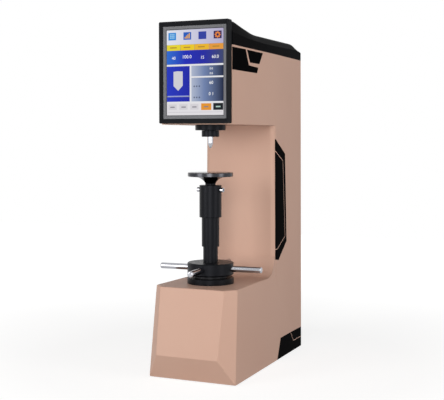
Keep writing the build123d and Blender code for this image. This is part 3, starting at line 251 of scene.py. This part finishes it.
# %% [markdown]
# ## Black panels, cover and display frame
# Four blacks sit near each other, and only depth and grain tell them apart: polished acrylic in the inlays,
# satin enamel on the top cover, textured paint on the rear cover's sheet metal, and moulded ABS with a fine
# grain round the display, on the mains inlet and on its switch. An anodised grey ring frames the glass.
# White surroundings would wash such blacks out, so each one reflects less than bare plastic does.

# %% Blacks and greys
acrylic = finish("polished_black_acrylic", "#050506", "#08080A", 0.06, 0.02, 9.0, 0.004, cloud_mm=80.0,
                 sockets={"IOR": 1.49, "Specular IOR Level": 0.001})
enamel = finish("satin_black_enamel", "#08080A", "#0C0C0E", 0.34, 0.05, 1.2, 0.012,
                sockets={"Specular IOR Level": 0.003})
sheet_paint = finish("textured_black_sheet_paint", "#17181A", "#1C1D1F", 0.50, 0.06, 0.9, 0.020,
                     sockets={"Specular IOR Level": 0.25})
abs_plastic = finish("spark_eroded_black_abs", "#1F2023", "#242528", 0.42, 0.06, 0.7, 0.020,
                     sockets={"IOR": 1.53, "Specular IOR Level": 0.01})
anodised = finish("grey_anodised_frame", "#434449", "#4B4C51", 0.42, 0.05, 0.6, 0.006, metallic=0.2)
dress(acrylic, "head_inlays", "column_inlays", "base_inlays")
dress(enamel, "top_cover")
dress(sheet_paint, "rear_cover")
dress(abs_plastic, "display_housing", "power_inlet", "power_switch_body", "power_rocker")
dress(anodised, "display_bezel")

# %% [markdown]
# ## Steels
# The sleeves, the hub, the base ring, the spindle and the nose are turned steel, blued in a hot salt bath, so
# they are black with a soft sheen and fine turning lines round their axis. The spokes, the indenter and the
# two screws in the upper sleeve are hard chrome: nearly a mirror, broken only by the faintest polishing
# marks. Stretching the noise across one axis draws turning lines without any texture image. The pieces
# inside the machine get their finishes too, because someone will take the covers off.

# %% Blued, plated and ground steel
TURNED = (0.15, 0.15, 3.0)      # lines that run round an upright axis
ALONG_X = (0.1, 3.0, 3.0)       # lines that run from side to side

blued = finish("blued_turned_steel", "#0F1014", "#15161A", 0.38, 0.06, 0.9, 0.010, metallic=0.6,
               stretch=TURNED, sockets={"Specular IOR Level": 0.15})
chrome = finish("hard_chrome", "#A2A3A9", "#B0B1B6", 0.10, 0.04, 1.5, 0.003, metallic=1.0)
oxide = finish("black_oxide_screws", "#1A1A1C", "#242427", 0.38, 0.06, 0.8, 0.010, metallic=0.8)
zinc = finish("zinc_plated_sheet", "#A9AEB4", "#B9BDC0", 0.34, 0.08, 3.0, 0.008, metallic=1.0, cloud_mm=20.0)
ground = finish("ground_steel", "#B4B5B8", "#C3C4C7", 0.26, 0.07, 0.6, 0.006, metallic=1.0, stretch=ALONG_X)
forged = finish("machined_forging", "#6F7074", "#808186", 0.42, 0.08, 1.4, 0.015, metallic=1.0)
bronze = finish("turned_bronze", "#9A7440", "#AA8450", 0.30, 0.06, 0.8, 0.010, metallic=1.0, stretch=TURNED)
aluminium = finish("milled_aluminium", "#B9BBBE", "#C8CACC", 0.34, 0.06, 1.0, 0.010, metallic=1.0)
rubber = finish("moulded_rubber", "#151515", "#1B1B1B", 0.75, 0.08, 0.8, 0.030)
board = finish("solder_masked_board", "#0E4A2A", "#12552F", 0.35, 0.06, 1.0, 0.010)
diamond = finish("polished_diamond", "#E8EEF2", "#F4F8FA", 0.06, 0.02, 1.0, 0.001, sockets={"IOR": 2.42})

dress(blued, "base_ring", "handwheel_hub", "upper_sleeve", "middle_sleeve", "lower_sleeve", "nose_flange",
      "spindle")
dress(chrome, "handwheel_spokes", "indenter", "sleeve_screws")
dress(oxide, "nose_screws", "indenter_set_screw", "lever_bracket_screws", "base_ring_screws", "hub_screws",
      "base_plate_screws", "rear_panel_screws", "drive_motor", "thrust_bearing")
dress(zinc, "base_plate", "foot_screws", "power_supply", "data_ports", "displacement_sensor")
dress(ground, "elevating_screw", "guide_key", "lever_pivot", "lever_bearings", "disc_springs",
      "drive_screw", "drive_screw_bearing", "guide_rods", "motor_shaft")
dress(forged, "lever_bracket", "lever", "pull_rod", "crosshead")
dress(bronze, "spindle_bushes", "guide_bush", "lift_nut")
dress(aluminium, "load_cell", "drive_bracket", "motor_coupling")
dress(rubber, "rubber_feet")
dress(board, "control_board")
dress(diamond, "diamond_tip")

# %% [markdown]
# ## The anvil's two finishes
# The anvil is one piece of hardened steel. Its plate is ground to a dark grey shine, and the flare and neck
# below it stay black from the salt bath. One shader does both: it compares the height of a point on the
# piece with the underside of the plate, and mixes grey and black steel over a tenth of a millimetre.

# %% Anvil
anvil_low, anvil_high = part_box("anvil")
PLATE_MM = 9.0                  # ground from the top face down to here


def two_tone(name, bright, dark, switch_z, soft_mm=0.1):
    """Ground steel above a height, blued steel below it."""
    material = finish(name, bright, bright, 0.22, 0.06, 0.7, 0.006, metallic=1.0, stretch=TURNED)
    tree = material.node_tree
    shader = next(n for n in tree.nodes if n.type == "BSDF_PRINCIPLED")
    at = add(tree, "ShaderNodeTexCoord")
    split = add(tree, "ShaderNodeSeparateXYZ", links={0: at.outputs["Object"]})
    above = add(tree, "ShaderNodeMapRange",
                values={"From Min": switch_z - soft_mm * MM, "From Max": switch_z},
                links={"Value": split.outputs["Z"]})
    tone = add(tree, "ShaderNodeMix", {"data_type": "RGBA"}, {"A": linear(dark), "B": linear(bright)},
               {"Factor": above.outputs[0]})
    tree.links.new(tone.outputs["Result"], shader.inputs["Base Color"])
    return material


anvil_steel = two_tone("ground_and_blued_anvil", "#3C3D41", "#17181B", anvil_high.z - PLATE_MM * MM)
dress(anvil_steel, "anvil")

# %% [markdown]
# ## Rear panel screws
# Eleven pan-headed screws hold the rear cover and the top cover. In CAD they are plain cylinders, and
# what tells a screw from a rivet is the cross recess that the driver goes into. One screw could be modelled
# and copied by hand, but Geometry Nodes put it on every place at once, and the places come from the CAD
# screws themselves. The tree's inputs are the sizes that a screw table lists.

# %% Places of the screws
MERGE_MM = 8.0                  # two screws are never closer than this


def centres(node, merge):
    """Middle of each loose piece of a CAD node across its X and Z, with its highest Y."""
    found = []
    for vert in nodes[node].data.vertices:
        at = vert.co.copy()
        near = next((g for g in found if math.hypot(g[0].x - at.x, g[0].z - at.z) < merge), None)
        if near is None:
            found.append([at, at, at])
            continue
        near[1] = Vector(map(min, near[1], at))
        near[2] = Vector(map(max, near[2], at))
    return [Vector(((low.x + high.x) / 2, high.y, (low.z + high.z) / 2)) for _, low, high in found]


screw_places = centres("rear_panel_screws", MERGE_MM * MM)
print("screws", len(screw_places))

# %% Tree of one screw, put on every place
SCREW_SIZES = {                 # M4 pan head, mm
    "Head Radius": 3.5, "Head Height": 2.2, "Top Radius": 2.5, "Shank Radius": 2.0, "Shank Length": 7.6,
    "Slot Width": 0.8, "Slot Length": 3.6, "Slot Depth": 1.1,
}
HEAD_SIDES, SHANK_SIDES = 32, 20


def screw_tree(name, sizes, material):
    """Head, shank and cross recess, with the axis along +Y, on every vertex that comes in."""
    tree = bpy.data.node_groups.new(name, "GeometryNodeTree")
    tree.interface.new_socket("Geometry", in_out="INPUT", socket_type="NodeSocketGeometry")
    tree.interface.new_socket("Geometry", in_out="OUTPUT", socket_type="NodeSocketGeometry")
    for label in sizes:
        tree.interface.new_socket(label, in_out="INPUT", socket_type="NodeSocketFloat")
    given = add(tree, "NodeGroupInput").outputs
    head = add(tree, "GeometryNodeMeshCone", {"fill_type": "NGON"}, {"Vertices": HEAD_SIDES},
               {"Radius Top": given["Top Radius"], "Radius Bottom": given["Head Radius"],
                "Depth": given["Head Height"]})
    shank = add(tree, "GeometryNodeMeshCylinder", {"fill_type": "NGON"}, {"Vertices": SHANK_SIDES},
                {"Radius": given["Shank Radius"], "Depth": given["Shank Length"]})
    half = add(tree, "ShaderNodeMath", {"operation": "MULTIPLY"}, {1: -0.5}, {0: given["Shank Length"]})
    down = add(tree, "ShaderNodeCombineXYZ", links={"Z": half.outputs[0]})
    low = add(tree, "GeometryNodeTransform",
              links={"Geometry": shank.outputs["Mesh"], "Translation": down.outputs[0]})
    bars = []
    deep = add(tree, "ShaderNodeMath", {"operation": "MULTIPLY"}, {1: 2.0}, {0: given["Slot Depth"]})
    top = add(tree, "ShaderNodeCombineXYZ", links={"Z": given["Head Height"]})
    for across, along in (("Slot Length", "Slot Width"), ("Slot Width", "Slot Length")):
        size = add(tree, "ShaderNodeCombineXYZ",
                   links={"X": given[across], "Y": given[along], "Z": deep.outputs[0]})
        bar = add(tree, "GeometryNodeMeshCube", links={"Size": size.outputs[0]})
        raised = add(tree, "GeometryNodeTransform",
                     links={"Geometry": bar.outputs["Mesh"], "Translation": top.outputs[0]})
        bars.append(raised.outputs[0])
    first = add(tree, "GeometryNodeMeshBoolean", {"operation": "DIFFERENCE"},
                links={"Mesh 1": head.outputs["Mesh"], "Mesh 2": bars[0]})
    second = add(tree, "GeometryNodeMeshBoolean", {"operation": "DIFFERENCE"},
                 links={"Mesh 1": first.outputs["Mesh"], "Mesh 2": bars[1]})
    screw = add(tree, "GeometryNodeJoinGeometry")
    tree.links.new(second.outputs["Mesh"], screw.inputs[0])
    tree.links.new(low.outputs[0], screw.inputs[0])
    turned = add(tree, "GeometryNodeTransform", values={"Rotation": (-math.pi / 2, 0, 0)},
                 links={"Geometry": screw.outputs[0]})
    put = add(tree, "GeometryNodeInstanceOnPoints",
              links={"Points": given["Geometry"], "Instance": turned.outputs[0]})
    real = add(tree, "GeometryNodeRealizeInstances", links={"Geometry": put.outputs[0]})
    dressed = add(tree, "GeometryNodeSetMaterial", values={"Material": material},
                  links={"Geometry": real.outputs[0]})
    add(tree, "NodeGroupOutput", links={"Geometry": dressed.outputs[0]})
    return tree


def grown(name, points, tree, sizes, body):
    """Run a tree on a cloud of points and keep the result as a plain mesh that rides on a body."""
    cloud = bpy.data.meshes.new(name)
    cloud.from_pydata(points, [], [])
    piece = bpy.data.objects.new(name, cloud)
    bpy.context.scene.collection.objects.link(piece)
    modifier = piece.modifiers.new(name, "NODES")
    modifier.node_group = tree
    for item in tree.interface.items_tree:
        if item.item_type == "SOCKET" and item.in_out == "INPUT" and item.name in sizes:
            modifier[item.identifier] = sizes[item.name] * MM
    bpy.context.view_layer.update()
    shape = bpy.data.meshes.new_from_object(piece.evaluated_get(bpy.context.evaluated_depsgraph_get()))
    piece.modifiers.clear()
    piece.data = shape
    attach(piece, body)
    print(name, len(points), "places,", len(shape.polygons), "faces")
    return piece


seats = [place - Vector((0, SCREW_SIZES["Head Height"] * MM, 0)) for place in screw_places]
one_screw = screw_tree("cross_screw", SCREW_SIZES, oxide)
screws = grown("rear_cross_screws", seats, one_screw, SCREW_SIZES, "frame")
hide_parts("rear_panel_screws")

# %% [markdown]
# ## The lit screen
# The display is a panel behind a black touch glass. What it shows is light, so every field is a material
# that glows. The picture could be one image, but then it would have a fixed resolution. Here each field is a
# thin plate, a few hundredths of a millimetre proud of the glass and laid out in shares of the screen's
# width and height. Plain numbers and bars stand for text.

# %% Screen size and glass
glass_low, glass_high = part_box("touch_glass")
SCREEN_SIDE, SCREEN_END = 7.6 * MM, 7.8 * MM        # what the bezel covers of the glass
screen_left, screen_right = glass_low.x + SCREEN_SIDE, glass_high.x - SCREEN_SIDE
screen_bottom, screen_top = glass_low.z + SCREEN_END, glass_high.z - SCREEN_END
screen_wide, screen_tall = screen_right - screen_left, screen_top - screen_bottom
LAYER = 0.04 * MM               # each layer of plates stands this much further out
GLASS_GAP = 0.005 * MM          # from the glass to the back of every plate

glass = finish("black_touch_glass", "#101216", "#121418", 0.05, 0.02, 20.0, 0.001)
dress(glass, "touch_glass", "lcd_panel")
print("screen", round(screen_wide / MM, 1), "x", round(screen_tall / MM, 1), "mm")


# %% Glowing materials
PANEL_BLACK = (0.01, 0.01, 0.012, 1)


def glowing(name, *codes, strength=0.86):
    """Screen light: one colour, or a run of colours from the screen's left to its right."""
    material = bpy.data.materials.new(name)
    material.use_nodes = True
    tree = material.node_tree
    tree.nodes.clear()
    at = add(tree, "ShaderNodeTexCoord")
    split = add(tree, "ShaderNodeSeparateXYZ", links={0: at.outputs["Object"]})
    across = add(tree, "ShaderNodeMapRange", values={"From Min": screen_left, "From Max": screen_right},
                 links={"Value": split.outputs["X"]})
    ramp = add(tree, "ShaderNodeValToRGB", links={"Fac": across.outputs[0]})
    stops = ramp.color_ramp.elements
    while len(stops) < len(codes):
        stops.new(0.5)
    for i, code in enumerate(codes):
        stops[i].position = i / max(len(codes) - 1, 1)
        stops[i].color = linear(code)
    if len(codes) == 1:
        stops[1].color = linear(codes[0])
    shader = add(tree, "ShaderNodeBsdfPrincipled",
                 values={"Base Color": PANEL_BLACK, "Roughness": 0.2, "Specular IOR Level": 0.01,
                         "Emission Strength": strength},
                 links={"Emission Color": ramp.outputs[0]})
    add(tree, "ShaderNodeOutputMaterial", links={"Surface": shader.outputs[0]})
    return material


# %% Plates and figures on the glass
FONT_SCALE = 1.4                # font size for figures one unit high


def on_screen(name, mesh, material):
    """Turn a bmesh into a piece of the screen picture, riding on the frame."""
    data = bpy.data.meshes.new(name)
    mesh.to_mesh(data)
    mesh.free()
    data.materials.append(material)
    piece = bpy.data.objects.new(name, data)
    bpy.context.scene.collection.objects.link(piece)
    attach(piece, "frame")


def spot(u, v):
    """X and Z of a point on the screen: u is a share of its width, v of its height from the top."""
    return screen_left + u * screen_wide, screen_top - v * screen_tall


def plates(name, material, outlines, layer=0):
    """Thin closed plates; each outline is a list of (u, v)."""
    mesh = bmesh.new()
    for outline in outlines:
        corners = [spot(u, v) for u, v in outline]
        rear = [mesh.verts.new((x, glass_low.y - GLASS_GAP, z)) for x, z in corners]
        face = [mesh.verts.new((x, glass_low.y - LAYER * (layer + 1), z)) for x, z in corners]
        mesh.faces.new(face)
        mesh.faces.new(rear[::-1])
        for i in range(len(corners)):
            j = (i + 1) % len(corners)
            mesh.faces.new((rear[i], rear[j], face[j], face[i]))
    bmesh.ops.recalc_face_normals(mesh, faces=mesh.faces)
    on_screen(name, mesh, material)
    print(name, len(outlines), "plates")


def field(u0, v0, u1, v1):
    """Outline of a rectangle between two corners."""
    return [(u0, v0), (u1, v0), (u1, v1), (u0, v1)]


def sized(u, v, wide, tall):
    """Outline of a rectangle from its upper left corner and its size."""
    return field(u, v, u + wide, v + tall)


def figures(name, material, texts, layer=3):
    """Plain figures, made from text turned into a closed mesh; each is (text, u, v, height in mm)."""
    joined = bmesh.new()
    for text, u, v, tall in texts:
        curve = bpy.data.curves.new("figure", "FONT")
        curve.body, curve.size, curve.extrude = text, tall * MM * FONT_SCALE, LAYER / 2
        curve.align_x, curve.align_y, curve.resolution_u = "CENTER", "CENTER", 3
        holder = bpy.data.objects.new("figure", curve)
        bpy.context.scene.collection.objects.link(holder)
        bpy.context.view_layer.update()
        flat = bpy.data.meshes.new_from_object(holder.evaluated_get(bpy.context.evaluated_depsgraph_get()))
        x, z = spot(u, v)
        at = Vector((x, glass_low.y - LAYER * layer, z))
        flat.transform(Matrix.Translation(at) @ Matrix.Rotation(math.pi / 2, 4, "X"))
        joined.from_mesh(flat)
        bpy.data.objects.remove(holder)
    on_screen(name, joined, material)
    print(name, [t[0] for t in texts])


# %% [markdown]
# ### Icon row and tabs
# A pale strip carries four square icons: a grid, a rising chart, a plain field and a gear wheel. Below it
# four tabs run from yellow to orange. Repeats come from loops: the grid's squares and the chart's bars step
# by a fixed share, and the gear is a ring of points whose distance from the middle goes in and out.

# %% Icon row and tabs
STRIP_BOTTOM = 0.172
ICON_TOP, ICON_BOTTOM, ICON_WIDE = 0.030, 0.118, 0.138
ICONS_AT = (0.030, 0.300, 0.566, 0.832)
ICON_BLUES = ("#2F8FE0", "#1F5FC4", "#3040A8", "#2A1E5A")

lavender = glowing("lcd_pale_lavender", "#EFF1FA", "#D6D5EB", "#BDB5D8")
plates("screen_icon_strip", lavender, [field(0, 0, 1, STRIP_BOTTOM)])
for i, (u, code) in enumerate(zip(ICONS_AT, ICON_BLUES)):
    plates(f"screen_icon_{i + 1}", glowing(f"lcd_icon_blue_{i + 1}", code),
           [field(u, ICON_TOP, u + ICON_WIDE, ICON_BOTTOM)], 1)

GRID_LEFT, GRID_TOP = ICONS_AT[0] + 0.026, 0.044
GRID_STEP, GRID_SQUARE = (0.030, 0.020), (0.024, 0.015)
grid = [sized(GRID_LEFT + GRID_STEP[0] * i, GRID_TOP + GRID_STEP[1] * j, *GRID_SQUARE)
        for i in range(3) for j in range(3)]
plates("screen_icon_grid", glowing("lcd_sky_blue", "#9AD0F6"), grid, 2)

CHART_LEFT, CHART_FOOT, FIRST_BAR_TOP = ICONS_AT[1] + 0.022, 0.104, 0.084
BAR_STEP, BAR_WIDE, BAR_RISE = 0.025, 0.018, 0.014
bar_lefts = [CHART_LEFT + BAR_STEP * i for i in range(4)]
chart = [field(u, FIRST_BAR_TOP - BAR_RISE * i, u + BAR_WIDE, CHART_FOOT) for i, u in enumerate(bar_lefts)]
plates("screen_icon_chart", glowing("lcd_amber", "#F0B24A"), chart, 2)

GEAR_TEETH = 8
POINTS_PER_TOOTH = 4            # two on the tip and two in the gap
TIP_RADIUS, GAP_RADIUS, EYE_RADIUS = 0.055, 0.040, 0.020
EYE_POINTS = 20
ratio = screen_wide / screen_tall
middle_u, middle_v = ICONS_AT[3] + ICON_WIDE / 2, (ICON_TOP + ICON_BOTTOM) / 2


def ring_points(radius_at, count):
    """Points about the gear's centre; radius_at gives each one's distance as a share of the width."""
    turn = [2 * math.pi * i / count for i in range(count)]
    return [(middle_u + radius_at(i) * math.cos(a), middle_v + radius_at(i) * math.sin(a) * ratio)
            for i, a in enumerate(turn)]


gear = ring_points(lambda i: TIP_RADIUS if i % POINTS_PER_TOOTH < 2 else GAP_RADIUS,
                   GEAR_TEETH * POINTS_PER_TOOTH)
plates("screen_icon_gear", glowing("lcd_orange", "#F08A3C"), [gear], 2)
eye = ring_points(lambda i: EYE_RADIUS, EYE_POINTS)
plates("screen_icon_gear_eye", glowing("lcd_dark_violet", "#2A1E5A"), [eye], 3)

TABS = (0.0, 0.243, 0.496, 0.752, 1.0)
TAB_TOP, TAB_BOTTOM = 0.174, 0.240
TAB_LEFT_GAP, TAB_RIGHT_GAP = 0.004, 0.002
TAB_COLOURS = ("#F2E02A", "#F8D31F", "#F6BE28", "#F0A03A")
for i, code in enumerate(TAB_COLOURS):
    tab = field(TABS[i] + TAB_LEFT_GAP, TAB_TOP, TABS[i + 1] - TAB_RIGHT_GAP, TAB_BOTTOM)
    plates(f"screen_tab_{i + 1}", glowing(f"lcd_tab_{i + 1}", code), [tab], 1)
marks = [sized(u + 0.06, 0.200, 0.12, 0.013) for u in TABS[:4]]
plates("screen_tab_marks", glowing("lcd_ochre", "#B98A2E"), marks, 2)

# %% [markdown]
# ### Values, picture of the indenter and results
# The blue band holds four values. The lower left field shows the indenter coming down on a line, and the
# lower right ones fade from white to slate behind small results. Only plain numbers are written: text turned
# into a mesh stays sharp at any distance.

# %% Values and fields
PICTURE_RIGHT, RESULTS_LEFT = 0.41, 0.44
FIELDS_TOP, FIELDS_BOTTOM = 0.426, 0.840
FIRST_RESULT_BOTTOM, SECOND_RESULT_TOP = 0.546, 0.566
BUTTONS_TOP = 0.856

band = glowing("lcd_blue_to_slate", "#2A70DA", "#1426BE", "#1A24A8", "#3E4872")
plates("screen_value_band", band, [field(0, 0.242, 1, 0.402)])
rules = [field(0, 0.404, 1, 0.424), field(PICTURE_RIGHT, 0.424, RESULTS_LEFT, 0.848),
         field(RESULTS_LEFT, FIRST_RESULT_BOTTOM, 1, 0.564), field(0, FIELDS_BOTTOM, 1, BUTTONS_TOP)]
plates("screen_rules", glowing("lcd_white", "#F2F2F6"), rules, 1)

picture = glowing("lcd_royal_blue", "#1C36C8", "#1219A6", "#1219A6")
plates("screen_picture_field", picture,
       [field(0, FIELDS_TOP, PICTURE_RIGHT, 0.772), field(0, 0.786, PICTURE_RIGHT, FIELDS_BOTTOM)])
tip = [(0.120, 0.488), (0.190, 0.482), (0.285, 0.486), (0.285, 0.652), (0.203, 0.712), (0.120, 0.655)]
plates("screen_indenter_shape", glowing("lcd_light_grey", "#D9D9E0"), [tip], 1)
plates("screen_specimen_line", glowing("lcd_pale_blue", "#A3B0F0"), [field(0.02, 0.770, 0.39, 0.780)], 1)

results = glowing("lcd_white_to_slate", "#DDE2EE", "#CDD5E6", "#7488B4", "#101D3E")
plates("screen_result_fields", results,
       [field(RESULTS_LEFT, FIELDS_TOP, 1, FIRST_RESULT_BOTTOM),
        field(RESULTS_LEFT, SECOND_RESULT_TOP, 1, FIELDS_BOTTOM)])

# %% Figures and small marks
VALUES = [                      # figures, u and v of their middle, height in mm
    ("40", 0.125, 0.330, 6.5), ("100.0", 0.360, 0.318, 7.5), ("15", 0.635, 0.330, 6.5),
    ("60.0", 0.860, 0.326, 7.0),
]
RESULTS = [
    ("0.0", 0.790, 0.462, 4.5), ("0.0", 0.790, 0.518, 4.5), ("60", 0.790, 0.625, 7.0),
    ("0 1", 0.790, 0.755, 7.0),
]
bright = glowing("lcd_figure_white", "#FFFFFF", strength=1.0)
figures("screen_values", bright, VALUES)
figures("screen_results", bright, RESULTS)
marks = [sized(0.48 + 0.045 * i, v, 0.020, 0.017) for v in (0.655, 0.785) for i in range(3)]
plates("screen_result_marks", glowing("lcd_slate", "#4A5470"), marks, 1)

# %% Button bar
plates("screen_button_bar", glowing("lcd_off_white", "#EDEAEE"), [field(0, BUTTONS_TOP, 1, 1)])
pale = [sized(0.03 + 0.195 * i, 0.872, 0.145, 0.064) for i in range(3)]
plates("screen_pale_buttons", glowing("lcd_button_grey", "#DEDBE0"), pale, 1)
amber = glowing("lcd_button_orange", "#EE9A2C")
plates("screen_orange_button", amber, [field(0.612, 0.864, 0.790, 0.942)], 1)
plates("screen_dark_button", glowing("lcd_button_black", "#101A1E"), [field(0.824, 0.862, 0.996, 0.942)], 1)
words = [field(0.06, 0.898, 0.14, 0.911), field(0.26, 0.898, 0.34, 0.911),
         field(0.455, 0.898, 0.53, 0.911), field(0.66, 0.897, 0.74, 0.910)]
plates("screen_button_marks", glowing("lcd_dim_text", "#8A8690"), words, 2)
plates("screen_dark_button_mark", glowing("lcd_mint", "#B9D8CC"), [field(0.870, 0.896, 0.950, 0.911)], 2)
plates("screen_status_line", glowing("lcd_status_grey", "#CFCBD2"), [field(0.02, 0.962, 0.98, 0.968)], 1)
